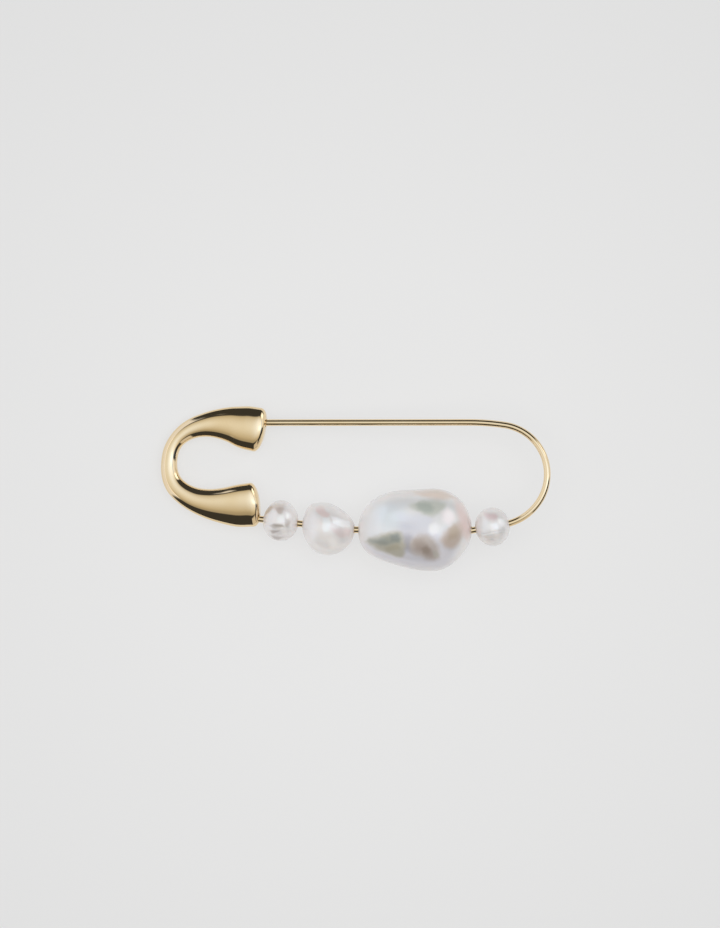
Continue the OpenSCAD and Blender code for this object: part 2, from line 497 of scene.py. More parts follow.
@dataclass(frozen=True)
class Nacre:
    """Natural freshwater nacre, tumbled but not cut.

    Thin layers over layers of it give a body that glows a little under the surface, and a strong soft
    lustre that mirrors the studio as blurred patches. Painted reflections, highlights and shade lie in
    its colour on the upper side, and painted light on its sides.
    """

    name: str
    body: str
    painted_patches: tuple[PaintedPatch, ...]
    # Faint clouds in the body, and the share of its light that is left where they are thickest
    cloud_mm: float = 3.0
    cloud_veil: float = 0.96
    # Painted light on the sides, lifting their shade, comes in as the normal's upward share falls through
    # these two
    side_painted_light: str = "#fdf7f4"
    side_painted_light_strength: float = 0.9
    side_painted_light_slopes: tuple[float, float] = (0.8, 0.3)
    # Upward share of the normal below which the painted patches begin to fade
    patch_slope: float = 0.3
    # How far the edges of the painted patches wander to each side, and over what distance
    wander_mm: float = 0.5
    drift_mm: float = 2.2
    # Share of the body that mirrors like metal, which stands for the light sent back between the layers
    lustre: float = 0.12
    roughness: float = 0.32
    ior: float = 1.6
    # How much light enters the body, and how far it gets in red, green and blue
    glow_weight: float = 0.3
    glow_radius: tuple[float, float, float] = (1.0, 0.85, 0.75)
    glow_mm: float = 0.6
    # The smooth outermost layer
    coat_weight: float = 0.8
    coat_roughness: float = 0.1
    # Slight unevenness that the grown skin keeps
    wrinkle_mm: float = 1.4
    wrinkle_depth_mm: float = 0.006

    def colour(self, tree: bpy.types.NodeTree) -> bpy.types.NodeSocket:
        """Adds the colour's nodes: a clouded body, painted light on the sides, painted patches on the upper
        side.

        Args:
            tree: The node tree.

        Returns:
            The colour.
        """
        spots = add(tree, "ShaderNodeTexCoord").outputs
        cloud = add(
            tree,
            "ShaderNodeTexNoise",
            {"Vector": spots["Object"], "Scale": 1 / (self.cloud_mm * MM), "Detail": 3.0},
        ).outputs["Fac"]
        veil = add(
            tree,
            "ShaderNodeMapRange",
            {
                "Value": cloud,
                "From Min": NOISE_LOW,
                "From Max": NOISE_HIGH,
                "To Min": self.cloud_veil,
                "To Max": 1.0,
            },
        ).outputs["Result"]
        body = add(
            tree, "ShaderNodeVectorMath", {0: linear(self.body)[:3], "Scale": veil}, operation="SCALE"
        ).outputs["Vector"]
        slope = add(tree, "ShaderNodeSeparateXYZ", {"Vector": spots["Normal"]}).outputs["Z"]
        # Painted light round the sides, which lifts the shade there
        side = add(
            tree,
            "ShaderNodeMapRange",
            {
                "Value": slope,
                "From Min": self.side_painted_light_slopes[0],
                "From Max": self.side_painted_light_slopes[1],
                "To Min": 0.0,
                "To Max": self.side_painted_light_strength,
            },
            interpolation_type="SMOOTHSTEP",
        ).outputs["Result"]
        body = add(
            tree, "ShaderNodeMix", {"Factor": side, 6: body, 7: linear(self.side_painted_light)}, data_type="RGBA"
        ).outputs[2]
        drift = add(
            tree,
            "ShaderNodeTexNoise",
            {"Vector": spots["Object"], "Scale": 1 / (self.drift_mm * MM), "Detail": 2.0},
        ).outputs["Color"]
        centred = add(
            tree, "ShaderNodeVectorMath", {0: drift, 1: (NOISE_MIDDLE,) * 3}, operation="SUBTRACT"
        ).outputs["Vector"]
        place = add(
            tree,
            "ShaderNodeVectorMath",
            {0: centred, 1: (2 * self.wander_mm * MM,) * 3, 2: spots["Object"]},
            operation="MULTIPLY_ADD",
        ).outputs["Vector"]
        upper = add(
            tree,
            "ShaderNodeMapRange",
            {"Value": slope, "From Min": 0.0, "From Max": self.patch_slope, "To Min": 0.0, "To Max": 1.0},
        ).outputs["Result"]
        colour = body
        # Painted patches, most of them painted reflections, highlights and shade, laid over the body
        for patch in self.painted_patches:
            share = add(
                tree, "ShaderNodeMath", {0: patch.mask(tree, place), 1: upper}, operation="MULTIPLY"
            ).outputs[0]
            colour = add(
                tree,
                "ShaderNodeMix",
                {"Factor": share, 6: colour, 7: linear(patch.colour)},
                data_type="RGBA",
            ).outputs[2]
        return colour

    def material(self) -> bpy.types.Material:
        """Builds the node material.

        Returns:
            The material.
        """
        material, tree = new_material(self.name)
        place = add(tree, "ShaderNodeTexCoord").outputs["Object"]
        wrinkle = add(
            tree,
            "ShaderNodeTexNoise",
            {"Vector": place, "Scale": 1 / (self.wrinkle_mm * MM), "Detail": 2.0},
        ).outputs["Fac"]
        bump = add(
            tree,
            "ShaderNodeBump",
            {"Height": wrinkle, "Distance": self.wrinkle_depth_mm * MM, "Strength": 1.0},
        ).outputs["Normal"]
        shader = add(
            tree,
            "ShaderNodeBsdfPrincipled",
            {
                "Base Color": self.colour(tree),
                "Metallic": self.lustre,
                "Roughness": self.roughness,
                "IOR": self.ior,
                "Subsurface Weight": self.glow_weight,
                "Subsurface Radius": self.glow_radius,
                "Subsurface Scale": self.glow_mm * MM,
                "Coat Weight": self.coat_weight,
                "Coat Roughness": self.coat_roughness,
                "Normal": bump,
            },
        )
        add(tree, "ShaderNodeOutputMaterial", {"Surface": shader.outputs["BSDF"]})
        return material


@dataclass(frozen=True)
class FrostedAcrylic:
    """Acrylic sheet, ground matt on top and lit from below.

    It gives the eye an even pale grey that glows by itself, so the shadows on it are soft and faint, and it
    falls off a little towards the picture's corners.
    """

    name: str = "backlit_frosted_acrylic"
    colour: str = "#7c7c7b"
    roughness: float = 0.9
    specular: float = 0.1
    glow: float = 0.618
    # Glow left at the picture's corners, and how far from the middle it begins and ends to fall, in mm
    corner_glow: float = 0.575
    glow_fall: tuple[float, float] = (40.0, 115.0)

    def material(self) -> bpy.types.Material:
        """Builds the node material.

        Returns:
            The material.
        """
        material, tree = new_material(self.name)
        place = add(tree, "ShaderNodeTexCoord").outputs["Object"]
        away = add(tree, "ShaderNodeVectorMath", {0: place}, operation="LENGTH").outputs["Value"]
        start, stop = self.glow_fall
        glow = add(
            tree,
            "ShaderNodeMapRange",
            {
                "Value": away,
                "From Min": start * MM,
                "From Max": stop * MM,
                "To Min": self.glow,
                "To Max": self.corner_glow,
            },
        ).outputs["Result"]
        shader = add(
            tree,
            "ShaderNodeBsdfPrincipled",
            {
                "Base Color": linear(self.colour),
                "Roughness": self.roughness,
                "Specular IOR Level": self.specular,
                "Emission Color": (1.0, 1.0, 1.0, 1.0),
                "Emission Strength": glow,
            },
        )
        add(tree, "ShaderNodeOutputMaterial", {"Surface": shader.outputs["BSDF"]})
        return material


@dataclass(frozen=True)
class Socket:
    """A blind hole in one end face of the clasp, which the wire stands in."""

    mouth: Place
    radius: float
    depth: float
    rim: float = 0.07


@dataclass(frozen=True)
class Clasp:
    """The cast horseshoe: thin at its middle, flared and domed at both ends, with a socket in each."""

    # Sizes along the view, and how far each end face bulges
    waist_thickness: float = 2.9
    mouth_thickness: float = 4.4
    dome: float = 1.42
    # How quickly the end face turns over at its outer side, inner side and top: 1 is round, less is squarer
    side_edge: float = 0.62
    inner_edge: float = 0.85
    top_edge: float = 0.33
    # Length before an end face over which the top and the underside begin to round off
    shoulder: float = 0.85
    # Gap round the wire in the catch and in the root, and the room left behind its end
    catch_gap: float = 0.2
    root_gap: float = 0.06
    catch_room: float = 0.6
    root_room: float = 0.2
    # Points round each ring, rings for each row of the table, and rings of each domed face
    sides: int = 72
    steps: int = 8
    dome_rings: int = 16
    # How far to each side of a place of the table its direction is read
    nudge: float = 0.02
    # Nearer than this share to the middle of a face, the middle itself is meant
    middle_share: float = 1e-6
    # Share of a round oval's width at which its flanks are cut flat, and how crisply
    flank: float = 0.93
    crispness: float = 16.0
    # Middle line x, y, half width, share of the way to the mouth's thickness, and outward lean in degrees
    table: tuple[Row, ...] = (
        (-18.05, 10.44, 4.07, 1.00, -2.0),
        (-20.4, 10.88, 3.94, 0.85, -2.0),
        (-22.9, 11.36, 3.31, 0.48, -2.0),
        (-25.4, 11.50, 2.68, 0.16, -2.0),
        (-27.6, 11.29, 2.21, 0.05, -2.0),
        (-29.6, 10.76, 1.91, 0.00, -2.0),
        (-31.4, 9.78, 1.65, 0.00, -4.0),
        (-32.9, 8.30, 1.46, 0.00, -8.0),
        (-33.8, 6.42, 1.46, 0.00, -10.0),
        (-34.1, 4.20, 1.50, 0.00, -10.0),
        (-33.85, 2.15, 1.62, 0.00, -7.0),
        (-33.0, 0.38, 1.80, 0.02, -3.0),
        (-31.45, -1.08, 1.99, 0.06, 1.0),
        (-29.4, -2.20, 2.28, 0.14, 4.0),
        (-26.95, -2.92, 2.74, 0.30, 8.0),
        (-24.4, -3.26, 3.28, 0.55, 10.0),
        (-21.65, -3.32, 3.88, 0.85, 10.0),
        (-18.95, -3.12, 4.06, 1.00, 10.0),
    )

    def ahead(self, place: float) -> Vector:
        """Unit vector along the clasp's middle line at a place of the table."""
        before, after = (smooth_row(self.table, place + step) for step in (-self.nudge, self.nudge))
        return Vector((after[0] - before[0], after[1] - before[1], 0)).normalized()

    def section(self, place: float) -> tuple[Vector, Vector, Vector, float, float]:
        """Works out the section at a place of the table.

        Args:
            place: The row, as a number that may lie between two rows.

        Returns:
            Its middle, its side and top unit vectors, its half width and its half thickness.
        """
        x, y, half_width, share, lean = smooth_row(self.table, place)
        ahead = self.ahead(place)
        thickness = self.waist_thickness + (self.mouth_thickness - self.waist_thickness) * share
        side = Vector((-ahead.y, ahead.x, 0))
        up = Vector((0, 0, 1))
        turn = math.radians(lean)
        inner = side * math.cos(turn) + up * math.sin(turn)
        top = up * math.cos(turn) - side * math.sin(turn)
        return Vector((x, y, 0)), inner, top, half_width, thickness / 2

    def depth(self, across: float, up: float) -> float:
        """How far out a spot lies, by its shares of the half sizes: 0 in the middle, 1 on the skin."""
        rounded = math.hypot(across * self.flank, up)
        return (abs(across) ** self.crispness + rounded**self.crispness) ** (1 / self.crispness)

    def outline(self, a: float) -> tuple[float, float]:
        """Finds a point of the section's skin.

        Args:
            a: Angle round the section, in radians.

        Returns:
            The point, as shares of the half width and the half thickness.
        """
        across, up = math.cos(a) / self.flank, math.sin(a)
        reach = self.depth(across, up)
        return across / reach, up / reach

    def round_off(self, before_rim: float) -> float:
        """Share of the thickness that is left this far before the rim of an end face."""
        way = max(0.0, self.shoulder - before_rim) / (self.shoulder + self.dome)
        return (1 - way**2) ** (self.top_edge / 2)

    def body_ring(self, place: float) -> Ring:
        """Makes a ring of the skin.

        Args:
            place: Its place of the table.

        Returns:
            The ring.
        """
        centre, side, top, half_width, half_thickness = self.section(place)
        rims = (self.section(0)[0], self.section(len(self.table) - 1)[0])
        half_thickness *= self.round_off(min((centre - rim).length for rim in rims))

        def point(a: float) -> Vector:
            """Finds the ring's point at an angle in radians."""
            across, up = self.outline(a)
            return centre + side * across * half_width + top * up * half_thickness

        return point

    def end_rings(self, place: float, out: Vector, socket: Socket) -> list[Ring]:
        """Makes the rings of one end, from its domed face over its socket's edge to the socket's floor.

        Args:
            place: The end's row of the table.
            out: Unit vector that the end face looks along.
            socket: The hole in it.

        Returns:
            The rings, from the outside in.
        """
        centre, side, top, half_width, half_thickness = self.section(place)
        half_thickness *= self.round_off(0)
        axis = socket.mouth.ahead()
        across = Vector((-axis.y, axis.x, 0))
        up = Vector((0, 0, 1))
        offset = (socket.mouth.point() - centre).dot(side)
        turn = 1 if across.dot(side) > 0 else -1

        def on_face(p: float, q: float) -> Vector:
            """Finds a point of the domed face.

            Args:
                p: Distance from the middle along the section's side vector.
                q: Distance from the middle along its top vector.

            Returns:
                The point of the face over that spot.
            """
            across_share, up_share = p / half_width, q / half_thickness
            k = self.depth(across_share, up_share)
            if k < self.middle_share:
                return centre + out * self.dome
            weight = across_share**2 + up_share**2
            side_edge = self.inner_edge if p > 0 else self.side_edge
            edge = (side_edge * across_share**2 + self.top_edge * up_share**2) / weight
            shoulder = self.shoulder * up_share**2 / weight
            rim_share = (1 - (shoulder / (self.dome + shoulder)) ** 2) ** (edge / 2)
            fallen = (rim_share * min(1.0, k)) ** (2 / edge)
            bulge = (self.dome + shoulder) * math.sqrt(1 - fallen) - shoulder
            return centre + side * p + top * q + out * bulge

        def face_ring(step: int) -> Ring:
            """Makes a ring of the domed face, which closes in on the socket's edge.

            Args:
                step: Its number, counted from the face's rim.

            Returns:
                The ring.
            """
            share = math.cos(math.radians(90 * step / self.dome_rings)) ** self.side_edge
            edge = socket.radius + socket.rim

            def point(a: float) -> Vector:
                """Finds its point at an angle in radians, between the face's rim and the socket's edge."""
                wide, high = self.outline(a)
                p = share * half_width * wide + (1 - share) * (offset + edge * math.cos(a))
                q = share * half_thickness * high + (1 - share) * edge * math.sin(a)
                return on_face(p, q)

            return point

        def hole_ring(radius: float, sunk: float) -> Ring:
            """Makes a ring of the socket's wall.

            Args:
                radius: Its radius.
                sunk: How far it lies below the domed face.

            Returns:
                The ring.
            """

            def point(a: float) -> Vector:
                """Finds its point at an angle in radians, which follows the slope of the face."""
                lip = on_face(offset + socket.radius * math.cos(a), socket.radius * math.sin(a))
                lip_way = (lip - socket.mouth.point()).dot(axis)
                spot = socket.mouth.point() + axis * (lip_way - sunk)
                return spot + across * turn * radius * math.cos(a) + up * radius * math.sin(a)

            return point

        def floor_ring(radius: float) -> Ring:
            """Ring at the socket's flat floor."""
            spot = socket.mouth.point() - axis * socket.depth
            return oval(spot, across * turn, radius, radius)

        rings = [face_ring(step) for step in range(1, self.dome_rings + 1)]
        rings += [hole_ring(radius, sunk) for radius, sunk in rolled_edge(socket.radius, socket.rim)]
        rings += [floor_ring(socket.radius), floor_ring(socket.radius / 2)]
        return rings

    def build(self, finish: GoldPlate) -> bpy.types.Object:
        """Forms the clasp and lays it down.

        Args:
            finish: Its metal finish.

        Returns:
            The clasp.
        """
        last = len(self.table) - 1
        face_x = self.table[0][0]
        wire_end = ROUTE.end()
        catch = Socket(
            Place(face_x, ROUTE.tip[1], 0),
            WIRE_D / 2 + self.catch_gap,
            face_x - ROUTE.tip[0] + self.catch_room,
        )
        root_face = Vector((*self.table[last][:2], 0))
        root_way = (root_face - wire_end.point()).dot(-wire_end.ahead())
        root_mouth = Stretch(length=-root_way).along(wire_end)
        root = Socket(
            Place(root_mouth.x, root_mouth.y, root_mouth.heading + 180),
            WIRE_D / 2 + self.root_gap,
            root_way + self.root_room,
        )
        catch_rings = self.end_rings(0, -self.ahead(0), catch)
        root_rings = self.end_rings(last, self.ahead(last), root)
        body = [self.body_ring(i / self.steps) for i in range(last * self.steps + 1)]
        bm = form([*reversed(catch_rings), *body, *root_rings], self.sides, capped=True)
        return lay_down(bm, "clasp_casting", "clasp", finish.material())


@dataclass(frozen=True)
class PinWire:
    """The spring wire: tapered needle, round bow and the straight run that the pearls are threaded on."""

    # Diameter of the blunt tip, and the rings of the taper behind it
    point_d: float = 0.3
    point_rings: int = 8
    sides: int = 40
    # Widest steps between rings: degrees in a bend, millimetres where the wire is straight
    bend_step: float = 1.5
    straight_step: float = 4.0

    def build(self, finish: GoldPlate) -> bpy.types.Object:
        """Forms the wire and lays it down.

        Args:
            finish: Its metal finish.

        Returns:
            The wire.
        """
        tip = Vector((*ROUTE.tip, 0))
        starts = ROUTE.starts()
        stops = [starts[0]]
        for start, stretch in zip(starts, ROUTE.stretches):
            steps = (stretch.turn / self.bend_step, stretch.length / self.straight_step)
            count = max(1, *map(math.ceil, steps))
            stops += [stretch.along(start, (k + 1) / count) for k in range(count)]
        rings = []
        for k in range(self.point_rings):
            share = k / self.point_rings
            radius = (self.point_d + (WIRE_D - self.point_d) * share) / 2
            middle = tip + Vector((ROUTE.point_length * share, 0, 0))
            rings.append(oval(middle, Vector((0, 1, 0)), radius, radius))
        for stop in stops:
            side = Vector((-stop.ahead().y, stop.ahead().x, 0))
            rings.append(oval(stop.point(), side, WIRE_D / 2, WIRE_D / 2))
        bm = form(rings, self.sides, capped=True)
        return lay_down(bm, "spring_wire", "pin_wire", finish.material())


@dataclass(frozen=True)
class Dent:
    """A swelling of a pearl's skin, or a hollow, whose rise is below 0."""

    # How far along the pearl and round it the middle lies, in degrees
    station: float
    round_axis: float
    # How far the skin rises there, in millimetres, and how wide it spreads, in degrees
    rise: float
    spread: float

    def at(self, station: float, round_axis: float) -> float:
        """Works out how far it lifts a spot of the skin.

        Args:
            station: How far the spot is along the pearl, 0 to 180 degrees.
            round_axis: How far it is round it, in degrees.

        Returns:
            The rise, in millimetres.
        """
        gap = abs(round_axis - self.round_axis) % 360
        gap = min(gap, 360 - gap)
        far = ((station - self.station) ** 2 + gap**2) / self.spread**2
        return self.rise * math.exp(-far)


@dataclass(frozen=True)
class Groove:
    """A fine growth ring round a pearl, by its distance from the drill line towards the needle, in mm."""

    across: float
    depth: float = 0.07
    width: float = 0.16

    def at(self, across: float) -> float:
        """Rise of the skin at a distance from the drill line, which is below 0 in the groove."""
        return -self.depth * math.exp(-(((across - self.across) / self.width) ** 2))


@dataclass(frozen=True)
class Pearl:
    """A drilled pearl: a skin through a table of stations, which turns into its drill hole at both ends."""

    name: str
    node: str
    slot: Slot
    length: float
    # Stretch of the wire that it sits on, and how far along it its middle is
    stretch: int
    way: float
    # Reach towards the needle, away from it, up and down, as shares of half the length
    table: tuple[Row, ...]
    dents: tuple[Dent, ...]
    grooves: tuple[Groove, ...] = ()
    # How square its section is: 2 is a plain oval
    squareness: float = 2.0
    # Points round each ring, and rings along the skin
    sides: int = 128
    stations: int = 96
    # Gap round the wire in the drill hole, and the radius of the hole's rolled edge
    drill_gap: float = 0.15
    rim: float = 0.12
    # Where the hole has rings, below the skin, as shares of half the length
    hole_shares: tuple[float, float] = (0.3, 0.6)

    def radius(self, station: float, angle: float) -> float:
        """Works out the reach of the skin before it is narrowed towards the ends.

        Args:
            station: How far along the pearl, 0 to 180 degrees.
            angle: How far round it, in radians.

        Returns:
            The reach, in millimetres.
        """
        row = smooth_row(self.table, station / 180 * (len(self.table) - 1))
        side = row[0] if math.cos(angle) > 0 else row[1]
        face = row[2] if math.sin(angle) > 0 else row[3]
        power = self.squareness
        spread = abs(math.cos(angle) / side) ** power + abs(math.sin(angle) / face) ** power
        reach = spread ** (-1 / power)
        dents = sum(dent.at(station, math.degrees(angle) % 360) for dent in self.dents)
        skin = self.length / 2 * reach + dents
        across = skin * math.sin(math.radians(station)) * math.cos(angle)
        return skin + sum(groove.at(across) for groove in self.grooves)

    def skin_ring(self, share: float) -> Ring:
        """Makes a ring of the outer skin.

        Args:
            share: Share of the way from one drill hole to the other.

        Returns:
            The ring.
        """
        edge = WIRE_D / 2 + self.drill_gap + self.rim

        def point(a: float) -> Vector:
            """Finds the ring's point at an angle in radians."""
            first = math.degrees(math.asin(edge / self.radius(0, a)))
            final = 180 - math.degrees(math.asin(edge / self.radius(180, a)))
            station = first + (final - first) * share
            reach = self.radius(station, a)
            u = math.radians(station)
            return Vector(
                (
                    -self.length / 2 * math.cos(u),
                    reach * math.sin(u) * math.cos(a),
                    reach * math.sin(u) * math.sin(a),
                )
            )

        return point

    def hole_ring(self, end: int, radius: float, sunk: float) -> Ring:
        """Makes a ring in the drill hole.

        Args:
            end: 0 for the end that the skin starts at, 1 for the other.
            radius: The ring's radius.
            sunk: How far it lies below the skin.

        Returns:
            The ring.
        """
        skin = self.skin_ring(end)
        inwards = 1 if end == 0 else -1
        return lambda a: Vector((skin(a).x + inwards * sunk, radius * math.cos(a), radius * math.sin(a)))

    def build(self, finish: Nacre) -> bpy.types.Object:
        """Forms the pearl, threads it on the wire and lays it down.

        Args:
            finish: Its nacre.

        Returns:
            The pearl.
        """
        hole = WIRE_D / 2 + self.drill_gap
        lip = rolled_edge(hole, self.rim)
        inner = [self.length * share / 2 for share in self.hole_shares]
        rings = [self.skin_ring(k / (self.stations - 1)) for k in range(self.stations)]
        rings += [self.hole_ring(1, radius, sunk) for radius, sunk in lip]
        rings += [self.hole_ring(1, hole, sunk) for sunk in inner]
        rings += [self.hole_ring(0, hole, sunk) for sunk in reversed(inner)]
        rings += [self.hole_ring(0, radius, sunk) for radius, sunk in reversed(lip)]
        rings.append(rings[0])
        bm = form(rings, self.sides, capped=False)
        place = ROUTE.on_stretch(self.stretch, self.way)
        threaded = Place(place.x, place.y, place.heading + 180).frame()
        bmesh.ops.transform(bm, matrix=threaded, verts=bm.verts)
        return lay_down(bm, self.name, self.node, finish.material())


def soft_window(
    tree: bpy.types.NodeTree, value: bpy.types.NodeSocket, middle: float, half: float, edge: float
) -> bpy.types.NodeSocket:
    """Mask that is 1 where a value lies within a window, and falls off softly at its edges.

    Args:
        tree: The node tree.
        value: The value.
        middle: Middle of the window.
        half: Half its width.
        edge: How far to each side of its border the mask fades.

    Returns:
        The mask.
    """
    moved = add(tree, "ShaderNodeMath", {0: value, 1: middle}, operation="SUBTRACT").outputs[0]
    aside = add(tree, "ShaderNodeMath", {0: moved}, operation="ABSOLUTE").outputs[0]
    return add(
        tree,
        "ShaderNodeMapRange",
        {"Value": aside, "From Min": half + edge, "From Max": half - edge, "To Min": 0.0, "To Max": 1.0},
        interpolation_type="SMOOTHSTEP",
    ).outputs["Result"]


@dataclass(frozen=True)
class WallPanel:
    """A bright wall or window, as seen from the brooch: its azimuth and its height range in degrees."""

    azimuth: float
    half_width: float
    low: float
    high: float
    strength: float
    colour: str = "#ffffff"
    # How far to each side of its border it fades, in degrees
    edge: float = 3.0

    def mask(self, tree: bpy.types.NodeTree, way: bpy.types.NodeSocket) -> bpy.types.NodeSocket:
        """Adds the nodes that say where the panel is.

        Args:
            tree: The node tree.
            way: The direction looked in.

        Returns:
            The mask, 1 inside the panel.
        """
        turned = add(
            tree,
            "ShaderNodeVectorRotate",
            {"Vector": way, "Angle": -math.radians(self.azimuth)},
            rotation_type="Z_AXIS",
        ).outputs["Vector"]
        parts = add(tree, "ShaderNodeSeparateXYZ", {"Vector": turned}).outputs
        azimuth = add(
            tree, "ShaderNodeMath", {0: parts["Y"], 1: parts["X"]}, operation="ARCTAN2"
        ).outputs[0]
        height = add(tree, "ShaderNodeMath", {0: parts["Z"]}, operation="ARCSINE").outputs[0]
        edge = math.radians(self.edge)
        across = soft_window(tree, azimuth, 0, math.radians(self.half_width), edge)
        middle = math.radians((self.low + self.high) / 2)
        half = math.radians((self.high - self.low) / 2)
        upright = soft_window(tree, height, middle, half, edge)
        return add(tree, "ShaderNodeMath", {0: across, 1: upright}, operation="MULTIPLY").outputs[0]


@dataclass(frozen=True)
class CeilingPanel:
    """A soft panel overhead: middle and half size in X and Y, as shares of its height above the table."""

    middle: tuple[float, float]
    half: tuple[float, float]
    # How far to each side of its border it fades, along X and Y
    edge: tuple[float, float]
    strength: float
    colour: str = "#ffffff"

    def mask(self, tree: bpy.types.NodeTree, way: bpy.types.NodeSocket) -> bpy.types.NodeSocket:
        """Adds the nodes that say where the panel is.

        Args:
            tree: The node tree.
            way: The direction looked in.

        Returns:
            The mask, 1 inside the panel.
        """
        parts = add(tree, "ShaderNodeSeparateXYZ", {"Vector": way}).outputs
        height = add(tree, "ShaderNodeMath", {0: parts["Z"], 1: HORIZON}, operation="MAXIMUM").outputs[0]
        masks = []
        for axis, middle, half, edge in zip("XY", self.middle, self.half, self.edge):
            share = add(tree, "ShaderNodeMath", {0: parts[axis], 1: height}, operation="DIVIDE").outputs[0]
            masks.append(soft_window(tree, share, middle, half, edge))
        return add(tree, "ShaderNodeMath", {0: masks[0], 1: masks[1]}, operation="MULTIPLY").outputs[0]


@dataclass(frozen=True)
class Studio:
    """The pale table, the soft studio light round it and the camera that looks straight down."""

    table: FrostedAcrylic = FrostedAcrylic()
    # Half the size of the table top, in metres
    table_half: float = 3.0
    # Light of the gaps between the panels, which the metal shows as dark bands
    gap_strength: float = 0.045
    panels: tuple[WallPanel | CeilingPanel, ...] = (
        # The large warm soft box overhead, in two layers so that its lower edge is weaker
        CeilingPanel(
            middle=(-0.15, -0.035), half=(1.0, 0.735), edge=(0.1, 0.05), strength=0.37, colour="#fff4da"
        ),
        CeilingPanel(
            middle=(-0.15, 0.06), half=(1.0, 0.6), edge=(0.1, 0.16), strength=0.15, colour="#fff4da"
        ),
        # The cool glow along its middle, and its brighter and cooler right part
        CeilingPanel(
            middle=(-0.1, 0.1), half=(1.1, 0.35), edge=(0.3, 0.35), strength=0.46, colour="#cce1ff"
        ),
        CeilingPanel(
            middle=(0.59, 0.1), half=(0.75, 0.38), edge=(0.3, 0.34), strength=0.55, colour="#a6c8ff"
        ),
        # A faint band across it at the right, and the tube light there
        CeilingPanel(middle=(0.55, -0.1), half=(0.3, 0.6), edge=(0.3, 0.2), strength=0.15),
        CeilingPanel(
            middle=(0.6, 0.0), half=(0.34, 0.1), edge=(0.14, 0.08), strength=0.45, colour="#f4f8ff"
        ),
        # The pale wall to the left
        WallPanel(azimuth=169, half_width=47, low=-20, high=42, strength=0.94, colour="#f0f3ff"),
        # The upper and the lower part of the wall to the right, and the window in it
        WallPanel(azimuth=24, half_width=26, low=17, high=43, strength=0.85),
        WallPanel(azimuth=15, half_width=16, low=-20, high=17, strength=0.68),
        WallPanel(azimuth=36, half_width=9, low=17, high=40, strength=0.8, colour="#f4f8ff"),
        # The warm screen at the lower right
        WallPanel(azimuth=-63, half_width=15, low=-20, high=42, strength=0.62, colour="#fff8f0"),
    )
    # The fill light overhead, in watts and metres
    fill_watts: float = 0.38
    fill_size: float = 0.4
    fill_height: float = 0.32
    fill_colour: str = "#fff6e7"
    # Focal length in millimetres, and the nearest distance that the camera sees, in metres
    lens: float = 128.0
    nearest: float = 0.01
    # Height of the picture where the wire lies, and the spot under its middle, in millimetres
    picture_height: float = 167.04
    aim: tuple[float, float, float] = (0.99, 4.37, 5.0)
    backdrop: str = "#e6e6e6"

    def build_table(self) -> None:
        """Makes the table top."""
        bm = bmesh.new()
        bmesh.ops.create_grid(bm, x_segments=1, y_segments=1, size=self.table_half)
        mesh = bpy.data.meshes.new("table_top")
        bm.to_mesh(mesh)
        bm.free()
        mesh.materials.append(self.table.material())
        top = bpy.data.objects.new("table_top", mesh)
        bpy.context.scene.collection.objects.link(top)

    def build_light(self) -> None:
        """Hangs the soft panels round the table, with dark gaps between them, and a fill light above."""
        world = bpy.data.worlds.new("studio")
        bpy.context.scene.world = world
        world.use_nodes = True
        tree = world.node_tree
        tree.nodes.clear()
        way = add(tree, "ShaderNodeTexCoord").outputs["Generated"]
        total = add(tree, "ShaderNodeRGB").outputs[0]
        total.default_value = (*(self.gap_strength,) * 3, 1.0)
        for panel in self.panels:
            strength = add(
                tree, "ShaderNodeMath", {0: panel.mask(tree, way), 1: panel.strength}, operation="MULTIPLY"
            ).outputs[0]
            total = add(
                tree,
                "ShaderNodeVectorMath",
                {0: linear(panel.colour)[:3], 1: strength, 2: total},
                operation="MULTIPLY_ADD",
            ).outputs["Vector"]
        seen = add(tree, "ShaderNodeLightPath").outputs["Is Camera Ray"]
        shown = add(
            tree, "ShaderNodeMix", {"Factor": seen, 6: total, 7: linear(self.backdrop)}, data_type="RGBA"
        ).outputs[2]
        background = add(tree, "ShaderNodeBackground", {"Color": shown, "Strength": 1.0})
        add(tree, "ShaderNodeOutputWorld", {"Surface": background.outputs[0]})
        lamp = bpy.data.lights.new("overhead_fill", "AREA")
        lamp.shape = "DISK"
        lamp.size = self.fill_size
        lamp.energy = self.fill_watts
        lamp.color = linear(self.fill_colour)[:3]
        fill = bpy.data.objects.new("overhead_fill", lamp)
        fill.location = (0, 0, self.fill_height)
        fill.visible_glossy = False
        bpy.context.scene.collection.objects.link(fill)

    def build_camera(self) -> None:
        """Sets the camera straight above, so that a pixel is 0.18 mm at the wire."""
        lens = bpy.data.cameras.new("camera")
        lens.lens = self.lens
        lens.clip_start = self.nearest
        away = self.lens * self.picture_height / lens.sensor_width
        camera = bpy.data.objects.new("camera", lens)
        camera.location = Vector((self.aim[0], self.aim[1], self.aim[2] + away)) * MM
        bpy.context.scene.collection.objects.link(camera)
        bpy.context.scene.camera = camera

    def build(self) -> None:
        """Builds the whole studio."""
        self.build_table()
        self.build_light()
        self.build_camera()
        bpy.context.scene.view_settings.view_transform = "Standard"


